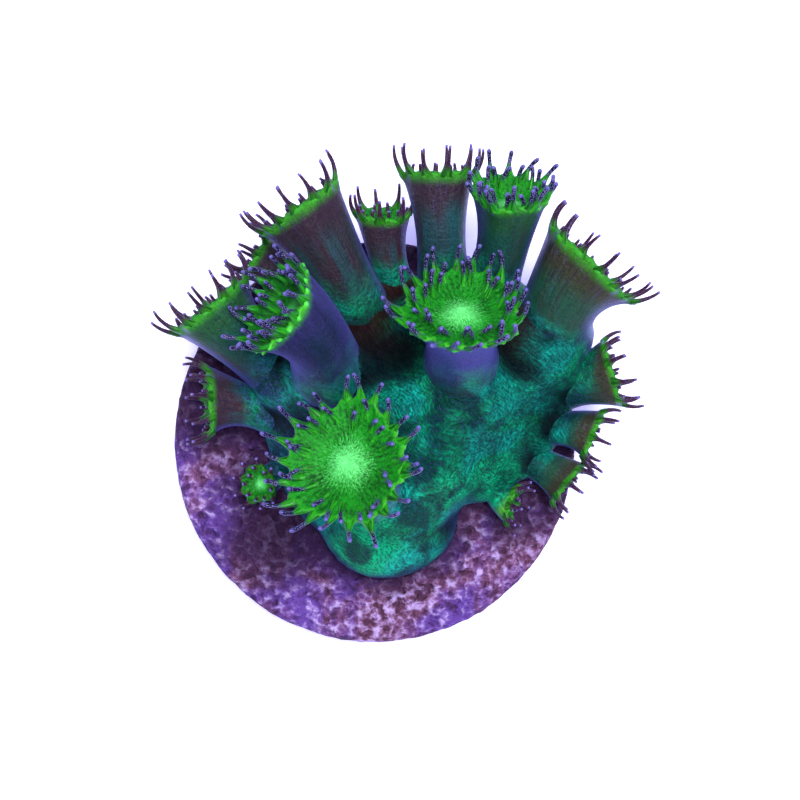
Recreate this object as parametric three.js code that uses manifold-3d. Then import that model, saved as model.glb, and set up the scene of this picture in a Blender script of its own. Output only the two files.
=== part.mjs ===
// A colony of scroll coral growing on a round frag disc.
//
// Millimetres, +Z up. The origin is the centre of the disc's flat underside, so the colony stands on Z = 0.
// +Y points to the back of the colony, where most of its polyps lean, and +X to its right.

import * as THREE from "three";
import { mergeVertices } from "three/addons/utils/BufferGeometryUtils.js";
import Module from "manifold-3d";

const wasm = await Module();
wasm.setup();

// Frag disc: a one inch ceramic disc, crusted with coralline algae.
const DISC_RADIUS = 12.7;
const DISC_TOP = 3.2;
const DISC_CHAMFER = 0.5;
const DISC_SECTORS = 36;
const CRUST_RISE = 0.22;
const CRUST_BULGE = 0.18;
const CRUST_RINGS = [0.97, 0.86, 0.72, 0.55];

// Clear gap between two solids that touch in the real coral.
const GAP = 0.2;

// Mound: the fleshy body, a blend of round lobes around one core, cut off flat just above the disc.
const MOUND_CORE = new THREE.Vector3(3.2, 3.0, 6.6);
const MOUND_FOOT = DISC_TOP + 0.3;
const MOUND_REACH = 15;
const MOUND_DETAIL = 6;
const LOBE_BLEND = 0.55;
const LOBE_RIPPLE = 0.16;
const MOUND_LOBES = [
  { name: "dome", from: [3.2, 3.0, 5.6], to: [4.6, 4.4, 6.0], radii: [4.6, 4.3] },
  { name: "front foot", from: [2.2, -0.6, 5.6], to: [0.1, -5.0, 4.5], radii: [4.2, 3.4] },
  { name: "front toe", from: [1.6, -4.0, 4.4], to: [2.6, -5.3, 3.7], radii: [2.8, 2.4] },
  { name: "right front", from: [4.0, -1.0, 4.8], to: [6.2, -1.4, 4.6], radii: [3.2, 2.1] },
  { name: "right flank", from: [6.4, 0.6, 4.8], to: [9.2, 1.7, 5.2], radii: [3.4, 2.3] },
  { name: "right shoulder", from: [6.0, 3.4, 6.0], to: [9.7, 6.0, 7.6], radii: [4.0, 3.0] },
  { name: "back", from: [3.0, 6.0, 6.6], to: [6.4, 8.2, 7.2], radii: [3.2, 2.8] },
  { name: "left back", from: [0.6, 5.6, 6.8], to: [-1.6, 7.6, 7.2], radii: [2.8, 2.1] },
  { name: "left shoulder", from: [0.6, 3.6, 6.4], to: [-4.9, 4.4, 6.9], radii: [3.2, 2.5] },
  { name: "left flank", from: [-0.4, 0.4, 4.8], to: [-4.2, 0.6, 4.6], radii: [3.2, 2.2] },
  { name: "left front", from: [-0.4, -1.0, 4.8], to: [-2.8, -2.8, 4.4], radii: [3.4, 2.5] },
];

// Polyps: where each stalk leaves the mound, the centre of its rim, the way its oral disc faces, and its sizes.
// rim is the rim's radius, stalk the radius half way up, flare how late the stalk widens to its rim, cup the depth
// of the oral disc below the rim, lift how steeply the tentacles stand above the rim's plane in degrees, and reach
// their length.
const POLYPS = [
  {
    name: "polyp_front",
    base: [-0.2, -2.6, 8.0], centre: [-1.6, -1.0, 14.2], facing: [-0.3, 0.22, 0.93],
    rim: 3.7, stalk: 1.9, flare: 3.6, cup: 0.5, tentacles: 20, lift: 30, reach: 1.7,
  },
  {
    name: "polyp_centre",
    base: [5.3, 5.0, 9.6], centre: [5.2, 7.9, 14.4], facing: [0, 0.7, 0.71],
    rim: 3.4, stalk: 2.0, flare: 4.0, cup: 0.8, tentacles: 18, lift: 48, reach: 1.5,
  },
  {
    name: "polyp_left_inner",
    base: [-2.8, 4.6, 9.3], centre: [-5.5, 8.0, 14.9], facing: [-0.78, 0.41, 0.47],
    rim: 2.8, stalk: 1.9, flare: 2.4, cup: 0.9, tentacles: 18, lift: 55, reach: 1.5,
  },
  {
    name: "polyp_left_outer",
    base: [-6.2, 5.0, 7.0], centre: [-9.8, 8.3, 10.4], facing: [-0.62, 0.77, 0.1],
    rim: 2.8, stalk: 1.75, flare: 2.8, cup: 0.9, tentacles: 16, lift: 52, reach: 1.6,
  },
  {
    name: "polyp_back_left",
    base: [-1.3, 8.5, 8.1], centre: [-4.3, 14.1, 12.2], facing: [-0.59, 0.8, 0.1],
    rim: 2.7, stalk: 1.77, flare: 2.6, cup: 0.9, tentacles: 16, lift: 52, reach: 1.7,
  },
  {
    name: "polyp_back_small",
    base: [1.8, 8.8, 5.2], centre: [0.6, 13.9, 9.2], facing: [0, 0.95, 0.3],
    rim: 1.7, stalk: 1.05, flare: 3.2, cup: 0.6, tentacles: 12, lift: 60, reach: 1.3,
  },
  {
    name: "polyp_back",
    base: [4.3, 9.7, 6.9], centre: [4.0, 16.2, 11.0], facing: [0, 0.99, 0.1],
    rim: 2.2, stalk: 1.4, flare: 3.2, cup: 0.7, tentacles: 14, lift: 58, reach: 1.5,
  },
  {
    name: "polyp_back_right",
    base: [7.1, 9.4, 8.8], centre: [8.1, 14.8, 13.5], facing: [0.05, 0.85, 0.52],
    rim: 2.3, stalk: 1.42, flare: 2.6, cup: 0.8, tentacles: 14, lift: 52, reach: 1.4,
  },
  {
    name: "polyp_right",
    base: [10.9, 6.9, 7.4], centre: [12.9, 10.9, 11.2], facing: [0.69, 0.71, 0.1],
    rim: 3.4, stalk: 2.15, flare: 2.8, cup: 1.0, tentacles: 18, lift: 50, reach: 1.7,
  },
  {
    name: "polyp_right_side",
    base: [11.6, 3.6, 6.0], centre: [14.6, 4.3, 7.3], facing: [0.95, 0.27, 0.1],
    rim: 2.05, stalk: 1.42, flare: 2.2, cup: 0.6, tentacles: 14, lift: 52, reach: 1.2,
  },
  {
    name: "polyp_right_low",
    base: [10.7, 0.85, 5.6], centre: [13.4, 0.45, 7.1], facing: [0.91, -0.41, 0.05],
    rim: 1.55, stalk: 0.95, flare: 1.8, cup: 0.5, tentacles: 12, lift: 52, reach: 1.1,
  },
  {
    name: "polyp_right_front",
    base: [9.2, -0.85, 4.9], centre: [12.0, -2.5, 5.9], facing: [0.77, -0.64, 0.1],
    rim: 1.55, stalk: 0.95, flare: 1.8, cup: 0.5, tentacles: 12, lift: 52, reach: 1.1,
  },
  {
    name: "polyp_foot_right",
    base: [7.2, -1.8, 4.8], centre: [8.6, -3.8, 5.6], facing: [0.93, -0.3, 0.2],
    rim: 1.25, stalk: 0.8, flare: 3.2, cup: 0.3, tentacles: 10, lift: 45, reach: 0.9,
  },
  {
    name: "polyp_left_low",
    base: [-5.4, 1.1, 5.0], centre: [-10.2, 2.5, 6.8], facing: [-0.98, -0.06, 0.15],
    rim: 2.2, stalk: 1.1, flare: 2.8, cup: 0.7, tentacles: 14, lift: 55, reach: 1.3,
  },
  {
    name: "polyp_foot_left",
    base: [-4.6, -0.6, 5.2], centre: [-7.2, -2.6, 5.6], facing: [-0.45, -0.1, 0.88],
    rim: 1.2, stalk: 0.8, flare: 3.2, cup: 0.25, tentacles: 10, lift: 35, reach: 0.7,
  },
  {
    name: "polyp_left_back",
    base: [-3.4, 7.0, 5.2], centre: [-7.2, 11.5, 7.0], facing: [-0.85, 0.52, 0.05],
    rim: 1.6, stalk: 1.1, flare: 3.2, cup: 0.5, tentacles: 12, lift: 52, reach: 1.3,
  },
];

// Polyp skin: how deep a stalk roots below its base, as a share of its length, and the heights of its rings.
const ROOT_DEPTH = 0.12;
const ROOT_TAPER = 0.45;
const STALK_STEPS = [0, 0.35, 0.65, 0.86, 1];
const ROOM_STEPS = [0, 0.5];
const BEND = 0.45;
const BASE_FLARE = 0.22;
const RIM_WAVE = 0.045;
const LIP_RISE = 0.07;

// Tentacles: where their waist lies and how wide it is, as shares, and how they stand in degrees and curl in radians.
const WAIST_SHARE = 0.45;
const WAIST_WIDTH = 0.42;
const INNER_LIFT = 14;
const OUTER_LIFT = -8;
const TENTACLE_CURL = 0.3;

const flesh = { metalness: 0, flatShading: true };
const MATERIALS = {
  disc: new THREE.MeshStandardMaterial({ color: 0x8a5f86, roughness: 0.95, ...flesh }),
  mound: new THREE.MeshStandardMaterial({ color: 0x0f6e58, roughness: 0.6, ...flesh }),
  polyp: new THREE.MeshStandardMaterial({ color: 0x2f9a2a, roughness: 0.5, ...flesh }),
};

// A closed mesh, its shared vertices merged, as a solid that can be joined and cut.
function solidOf(geometry) {
  const bare = geometry.clone();
  bare.deleteAttribute("normal");
  bare.deleteAttribute("uv");
  const merged = mergeVertices(bare, 1e-4);
  return new wasm.Manifold(new wasm.Mesh({
    numProp: 3,
    vertProperties: new Float32Array(merged.attributes.position.array),
    triVerts: new Uint32Array(merged.index.array),
  }));
}

// A solid's surface as a three.js geometry.
function geometryOf(solid) {
  const mesh = solid.getMesh();
  const geometry = new THREE.BufferGeometry();
  geometry.setAttribute("position", new THREE.BufferAttribute(new Float32Array(mesh.vertProperties), 3));
  geometry.setIndex(new THREE.BufferAttribute(new Uint32Array(mesh.triVerts), 1));
  geometry.computeVertexNormals();
  return geometry;
}

// A closed skin that is grown ring by ring. Rings run anticlockwise as seen from the end that the skin grows towards.
class Skin {
  points = [];
  index = [];

  place(points) {
    return points.map((point) => this.points.push(point) - 1);
  }

  band(lower, upper) {
    lower.forEach((corner, side) => {
      const next = (side + 1) % lower.length;
      this.index.push(corner, lower[next], upper[next], corner, upper[next], upper[side]);
    });
  }

  // Closes a loop of corners to a point that lies on the side that the loop faces.
  fan(loop, point) {
    const [tip] = this.place([point]);
    loop.forEach((corner, side) => this.index.push(corner, loop[(side + 1) % loop.length], tip));
  }

  // Closes the skin over a stack of rings, from a start point to an end point.
  stack(start, rings, end) {
    const placed = rings.map((ring) => this.place(ring));
    this.fan([...placed[0]].reverse(), start);
    placed.slice(1).forEach((ring, number) => this.band(placed[number], ring));
    this.fan(placed.at(-1), end);
    return this;
  }

  geometry() {
    return new THREE.BufferGeometry().setFromPoints(this.points).setIndex(this.index);
  }
}

// A gentle unevenness between -1 and 1 that repeats nowhere on the colony.
function unevenness(x, y, z) {
  return (Math.sin(1.1 * x + 0.7 * y + 2.1) + Math.sin(0.9 * y - 1.3 * z) + Math.sin(1.2 * z + 0.8 * x + 4.0)) / 3;
}

// Frag disc

// The height of the algae crust above the plain disc at a place on its top, from 0 to 1.
function crustAt(x, y) {
  return 0.5 + 0.25 * (Math.sin(1.7 * x + 0.6 * y) + Math.sin(1.3 * y - 1.1 * x + 1.0));
}

function discRing(radius, height, crusted) {
  const ring = [];
  for (let sector = 0; sector < DISC_SECTORS; sector++) {
    const turn = (2 * Math.PI * sector) / DISC_SECTORS;
    const rough = crusted ? crustAt(radius * Math.cos(turn), radius * Math.sin(turn)) : 0;
    const reach = radius + (crusted ? CRUST_BULGE * rough * (radius / DISC_RADIUS) ** 8 : 0);
    ring.push(new THREE.Vector3(reach * Math.cos(turn), reach * Math.sin(turn), height + CRUST_RISE * rough));
  }
  return ring;
}

function fragDisc() {
  const rings = [
    discRing(DISC_RADIUS - DISC_CHAMFER, 0, false),
    discRing(DISC_RADIUS, DISC_CHAMFER, false),
    discRing(DISC_RADIUS, DISC_TOP - 2 * DISC_CHAMFER, false),
    ...CRUST_RINGS.map((share) => discRing(share * DISC_RADIUS, DISC_TOP, true)),
  ];
  return new Skin().stack(new THREE.Vector3(0, 0, 0), rings, new THREE.Vector3(0, 0, DISC_TOP)).geometry();
}

// Coral mound

// Distance from a point to the blended lobes, below zero inside them.
function moundDistance(point) {
  const nearest = new THREE.Vector3();
  let sum = 0;
  for (const lobe of MOUND_LOBES) {
    const line = new THREE.Line3(new THREE.Vector3(...lobe.from), new THREE.Vector3(...lobe.to));
    const share = line.closestPointToPointParameter(point, true);
    const radius = THREE.MathUtils.lerp(lobe.radii[0], lobe.radii[1], share);
    line.at(share, nearest);
    sum += Math.exp(-(point.distanceTo(nearest) - radius) / LOBE_BLEND);
  }
  return -LOBE_BLEND * Math.log(sum) + LOBE_RIPPLE * unevenness(point.x, point.y, point.z);
}

// How far the mound reaches from its core along a direction, found by halving steps inwards.
function moundReach(direction) {
  const point = new THREE.Vector3();
  let reach = MOUND_REACH;
  for (let step = 0.4; step > 0.005; step /= 2) {
    const isOutside = () => moundDistance(point.copy(MOUND_CORE).addScaledVector(direction, reach - step)) > 0;
    while (reach > 1 && isOutside()) reach -= step;
  }
  return reach;
}

function moundBlank() {
  const geometry = new THREE.IcosahedronGeometry(1, MOUND_DETAIL);
  const positions = geometry.attributes.position;
  const direction = new THREE.Vector3();
  for (let i = 0; i < positions.count; i++) {
    direction.fromBufferAttribute(positions, i).normalize();
    const reach = moundReach(direction);
    positions.setXYZ(
      i,
      MOUND_CORE.x + direction.x * reach,
      MOUND_CORE.y + direction.y * reach,
      MOUND_CORE.z + direction.z * reach,
    );
  }
  const ground = new THREE.BoxGeometry(60, 60, 20).translate(0, 0, MOUND_FOOT - 10);
  return solidOf(geometry).subtract(solidOf(ground));
}

// Polyps

// The curve that a stalk's middle follows, from its base to its rim's centre, ending square to the rim.
function stalkCurve(polyp) {
  const base = new THREE.Vector3(...polyp.base);
  const centre = new THREE.Vector3(...polyp.centre);
  const facing = new THREE.Vector3(...polyp.facing).normalize();
  const knee = centre.clone().addScaledVector(facing, -BEND * base.distanceTo(centre));
  return new THREE.QuadraticBezierCurve3(base, knee, centre);
}

// Place, heading and two cross directions on a stalk. Shares below 0 lie on the straight root under its base.
function frameOn(polyp, curve, share) {
  const heading = curve.getTangent(Math.max(share, 0)).normalize();
  const place = curve.getPoint(Math.max(share, 0));
  if (share < 0) place.addScaledVector(heading, share * curve.getLength());
  const facing = new THREE.Vector3(...polyp.facing).normalize();
  const steady = Math.abs(facing.z) > 0.8 ? new THREE.Vector3(0, 1, 0) : new THREE.Vector3(0, 0, 1);
  const across = new THREE.Vector3().crossVectors(steady, heading).normalize();
  return { place, heading, across, over: new THREE.Vector3().crossVectors(heading, across) };
}

function outwardsAt(frame, turn) {
  return frame.across.clone().multiplyScalar(Math.cos(turn)).addScaledVector(frame.over, Math.sin(turn));
}

function rimWave(polyp, turn) {
  const phase = polyp.centre[0] + polyp.centre[1];
  return 1 + RIM_WAVE * (Math.sin(3 * turn + phase) + Math.sin(5 * turn + 2 * phase));
}

// The stalk's radius at a share of its height. It flares like a trumpet at its rim and spreads a little into the
// mound, and its root under the base tapers.
function stalkRadius(polyp, share, turn) {
  const rise = Math.max(share, 0);
  const flare = (polyp.rim * rimWave(polyp, turn) - polyp.stalk) * rise ** polyp.flare;
  const taper = 1 + (ROOT_TAPER * Math.min(share, 0)) / ROOT_DEPTH;
  return polyp.stalk * taper * (1 + BASE_FLARE * (1 - rise) ** 4) + flare;
}

// One ring of points round a frame, with the radius that each turn gives, raised along the way that it faces.
function ringOn(polyp, frame, radiusAt, rise = 0) {
  return Array.from({ length: polyp.tentacles }, (_, side) => {
    const turn = (2 * Math.PI * side) / polyp.tentacles;
    return frame.place.clone()
      .addScaledVector(outwardsAt(frame, turn), radiusAt(turn))
      .addScaledVector(frame.heading, rise);
  });
}

// The stalk's rings from its root to its rim, grown by a gap where the mound makes room for it.
function stalkRings(polyp, shares, growth) {
  const curve = stalkCurve(polyp);
  return shares.map((share) =>
    ringOn(polyp, frameOn(polyp, curve, share), (turn) => stalkRadius(polyp, share, turn) + growth));
}

// A tentacle that narrows from one wide corner of the rim to a point. Every other one stands steeper and is shorter.
function growTentacle(skin, polyp, top, root, number) {
  const isInner = number % 2 === 1;
  const turn = (2 * Math.PI * (number + 0.5)) / polyp.tentacles;
  const lift = THREE.MathUtils.degToRad(polyp.lift + (isInner ? INNER_LIFT : OUTER_LIFT));
  const reach = polyp.reach * (isInner ? 0.85 : 1) * (1 + 0.1 * Math.sin(5 * number + polyp.rim));
  const outwards = outwardsAt(top, turn);
  const pointing = (angle) =>
    outwards.clone().multiplyScalar(Math.cos(angle)).addScaledVector(top.heading, Math.sin(angle));
  const heart = new THREE.Vector3();
  root.forEach((corner) => heart.addScaledVector(skin.points[corner], 1 / root.length));
  const middle = heart.clone().addScaledVector(pointing(lift), WAIST_SHARE * reach);
  const tip = middle.clone().addScaledVector(pointing(lift + TENTACLE_CURL), (1 - WAIST_SHARE) * reach);
  const waist = skin.place(root.map((corner) =>
    middle.clone().addScaledVector(skin.points[corner].clone().sub(heart), WAIST_WIDTH)));
  skin.band(root, waist);
  skin.fan(waist, tip);
}

function polypBody(polyp) {
  const skin = new Skin();
  const curve = stalkCurve(polyp);
  const foot = frameOn(polyp, curve, -ROOT_DEPTH);
  const top = frameOn(polyp, curve, 1);
  const rimRing = (share, rise) => ringOn(polyp, top, (turn) => share * polyp.rim * rimWave(polyp, turn), rise);
  const outer = stalkRings(polyp, [-ROOT_DEPTH, ...STALK_STEPS], 0).map((ring) => skin.place(ring));
  const inner = [[0.88, LIP_RISE * polyp.rim], [0.7, -0.5 * polyp.cup], [0.36, -polyp.cup]]
    .map(([share, rise]) => skin.place(rimRing(share, rise)));
  skin.fan([...outer[0]].reverse(), foot.place);
  outer.slice(1).forEach((ring, number) => skin.band(outer[number], ring));
  inner.slice(1).forEach((ring, number) => skin.band(inner[number], ring));
  skin.fan(inner.at(-1), top.place.clone().addScaledVector(top.heading, -0.9 * polyp.cup));
  const rim = outer.at(-1);
  const lip = inner[0];
  for (let number = 0; number < polyp.tentacles; number++) {
    const next = (number + 1) % polyp.tentacles;
    growTentacle(skin, polyp, top, [rim[number], rim[next], lip[next], lip[number]], number);
  }
  return skin.geometry();
}

// The room that the mound leaves for a polyp's root and lower stalk.
function polypRoom(polyp) {
  const curve = stalkCurve(polyp);
  const depth = -ROOT_DEPTH - GAP / curve.getLength();
  const rings = stalkRings(polyp, [depth, ...ROOM_STEPS], GAP);
  const end = frameOn(polyp, curve, ROOM_STEPS.at(-1));
  return new Skin().stack(frameOn(polyp, curve, depth).place, rings, end.place).geometry();
}

// Assembly

function addPiece(colony, name, geometry, material) {
  const piece = new THREE.Mesh(geometry, material);
  piece.name = name;
  colony.add(piece);
}

const colony = new THREE.Group();
colony.name = "scroll_coral";

addPiece(colony, "frag_disc", fragDisc(), MATERIALS.disc);

let mound = moundBlank();
for (const polyp of POLYPS) {
  mound = mound.subtract(solidOf(polypRoom(polyp)));
  addPiece(colony, polyp.name, polypBody(polyp), MATERIALS.polyp);
}
const [mainBody] = mound.decompose().sort((a, b) => b.volume() - a.volume());
addPiece(colony, "coral_mound", geometryOf(mainBody), MATERIALS.mound);

export default colony;
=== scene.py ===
"""Looks of a scroll coral colony on a round frag disc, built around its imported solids.

Lengths are in millimetres until a mesh is made, in the solids' own frame: +Z up out of the disc and +Y to
the back. Inside the materials, places are in metres.
"""
import logging
import math
import random
from dataclasses import dataclass
from enum import Enum

import bpy
import numpy as np
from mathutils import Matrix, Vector, noise


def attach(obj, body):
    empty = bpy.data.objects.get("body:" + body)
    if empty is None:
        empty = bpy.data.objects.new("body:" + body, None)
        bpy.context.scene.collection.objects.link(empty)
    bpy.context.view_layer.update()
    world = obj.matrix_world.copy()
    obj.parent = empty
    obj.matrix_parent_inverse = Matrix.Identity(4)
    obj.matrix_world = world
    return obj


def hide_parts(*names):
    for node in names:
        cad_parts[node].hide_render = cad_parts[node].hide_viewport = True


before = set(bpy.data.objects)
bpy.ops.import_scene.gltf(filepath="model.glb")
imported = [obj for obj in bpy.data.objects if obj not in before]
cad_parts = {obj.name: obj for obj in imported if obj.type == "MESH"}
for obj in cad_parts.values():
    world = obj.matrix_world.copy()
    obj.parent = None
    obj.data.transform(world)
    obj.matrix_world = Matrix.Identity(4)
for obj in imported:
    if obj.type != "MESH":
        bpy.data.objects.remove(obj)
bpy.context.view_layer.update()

log = logging.getLogger("scroll_coral")

MM = 0.001
BODY = "root"

Pair = tuple[float, float]
Point = tuple[float, float, float]
Colour = tuple[float, float, float]
Material = bpy.types.Material
Tree = bpy.types.NodeTree
Node = bpy.types.Node
Socket = bpy.types.NodeSocket


class Slot(Enum):
    """The record's material slots."""

    DISC = "disc"
    MOUND = "mound"
    POLYP = "polyp"


class StalkTint(Enum):
    """How a polyp's stalk is coloured: two flesh colours that run along it in bands."""

    LAVENDER = "lavender"
    INDIGO = "indigo"
    RUSSET = "russet"
    TEAL = "teal"
    OLIVE = "olive"
    LIME = "lime"


class Fringe(Enum):
    """The two kinds of tentacle: thick ones with round tips, and thin, pointed ones that curl like claws."""

    CLUB = "club"
    CLAW = "claw"


# Meshes


class Skin:
    """Gathers sheets of points into one mesh, with named values on every point."""

    def __init__(self, *value_names: str) -> None:
        """Starts an empty skin.

        Args:
            value_names: The names of the values that each point carries.
        """
        self.points: list[np.ndarray] = []
        self.faces: list[np.ndarray] = []
        self.finishes: list[np.ndarray] = []
        self.values: dict[str, list[np.ndarray]] = {name: [] for name in value_names}
        self.count = 0

    def _place(self, points: np.ndarray, values: dict[str, np.ndarray]) -> np.ndarray:
        """Adds points with their values.

        Args:
            points: Points in the shape (..., 3).
            values: One array for each named value; a missing one is 0.

        Returns:
            The numbers of the points, in the shape (...).
        """
        flat = points.reshape(-1, 3)
        self.points.append(flat)
        for name, stored in self.values.items():
            given = np.asarray(values.get(name, 0.0), dtype=float)
            if given.ndim and given.shape[-1] == 3 and given.ndim == points.ndim:
                stored.append(given.reshape(-1, 3))
            else:
                stored.append(np.broadcast_to(given, points.shape[:-1]).reshape(-1))
        numbers = np.arange(self.count, self.count + len(flat)).reshape(points.shape[:-1])
        self.count += len(flat)
        return numbers

    def _face(self, corners: np.ndarray, finish: int) -> None:
        """Adds faces that all have one number of corners and one finish."""
        self.faces.append(corners)
        self.finishes.append(np.full(len(corners), finish))

    def tube(self, rings: np.ndarray, values: dict[str, np.ndarray], finish: int = 0,
             start: bool = True) -> None:
        """Adds a tube of rings, closed by a fan at its end.

        Args:
            rings: Points in the shape (rings, sectors, 3), anticlockwise as seen from the tube's end.
            values: One array in the shape (rings, sectors), or with 3 more numbers, for each named value.
            finish: The number of the material of its faces.
            start: Whether its start is closed as well.
        """
        numbers = self._place(rings, values)
        lower, upper = numbers[:-1], numbers[1:]
        quads = np.stack([lower, np.roll(lower, -1, 1), np.roll(upper, -1, 1), upper], axis=-1)
        self._face(quads.reshape(-1, 4), finish)
        fans = [(0, 1), (-1, -1)] if start else [(-1, -1)]
        for row, turn in fans:
            middle = rings[row].mean(axis=0)[None, :]
            held = {name: np.asarray(value)[row].mean(axis=0)[None] for name, value in values.items()}
            tip = self._place(middle, held)[0]
            ring = numbers[row]
            fan = np.stack([ring, np.roll(ring, turn), np.full(len(ring), tip)], axis=-1)
            self._face(fan, finish)

    def sheet(self, points: np.ndarray, faces: np.ndarray, values: dict[str, np.ndarray]) -> None:
        """Adds a ready set of points and faces, in the first finish.

        Args:
            points: Points in the shape (count, 3).
            faces: Corner numbers in the shape (faces, corners).
            values: One array in the shape (count,) for each named value.
        """
        first = self.count
        self._place(points, values)
        self._face(faces + first, 0)

    def piece(self, name: str) -> bpy.types.Object:
        """Makes the mesh object, with smooth shading, and puts it in the scene.

        Args:
            name: The object's name.

        Returns:
            The new object.
        """
        mesh = bpy.data.meshes.new(name)
        points = np.concatenate(self.points) * MM
        mesh.vertices.add(len(points))
        mesh.vertices.foreach_set("co", points.astype(np.float32).ravel())
        corners = np.concatenate([part.ravel() for part in self.faces])
        totals = np.concatenate([np.full(len(part), part.shape[1]) for part in self.faces])
        starts = np.concatenate([[0], np.cumsum(totals)[:-1]])
        mesh.loops.add(len(corners))
        mesh.loops.foreach_set("vertex_index", corners.astype(np.int32))
        mesh.polygons.add(len(totals))
        mesh.polygons.foreach_set("loop_start", starts.astype(np.int32))
        mesh.polygons.foreach_set("material_index", np.concatenate(self.finishes).astype(np.int32))
        mesh.update(calc_edges=True)
        for value_name, parts in self.values.items():
            stored = np.concatenate(parts).astype(np.float32)
            is_vector = stored.ndim == 2
            layer = mesh.attributes.new(value_name, "FLOAT_VECTOR" if is_vector else "FLOAT", "POINT")
            layer.data.foreach_set("vector" if is_vector else "value", stored.ravel())
        mesh.shade_smooth()
        piece = bpy.data.objects.new(name, mesh)
        bpy.context.scene.collection.objects.link(piece)
        return piece


def unit(vector: np.ndarray) -> np.ndarray:
    """Returns the vectors of an array at length 1."""
    return vector / np.linalg.norm(vector, axis=-1, keepdims=True)


def smooth(value: np.ndarray, low: float, high: float) -> np.ndarray:
    """Returns 0 below low and 1 above high, with a soft step between."""
    share = np.clip((np.asarray(value, dtype=float) - low) / (high - low), 0, 1)
    return share * share * (3 - 2 * share)


def roughness_at(points: np.ndarray, grain: float, octaves: int = 3) -> np.ndarray:
    """Gives each point of an array a soft random height.

    Args:
        points: Points in the shape (..., 3), in millimetres.
        grain: The size of the largest bumps, in millimetres.
        octaves: How many finer layers are added.

    Returns:
        Heights between about -1 and 1, in the shape (...).
    """
    flat = points.reshape(-1, 3) / grain
    heights = [noise.fractal(Vector(point), 1.0, 2.0, octaves) for point in flat]
    return np.array(heights).reshape(points.shape[:-1])


# Finishes


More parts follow.
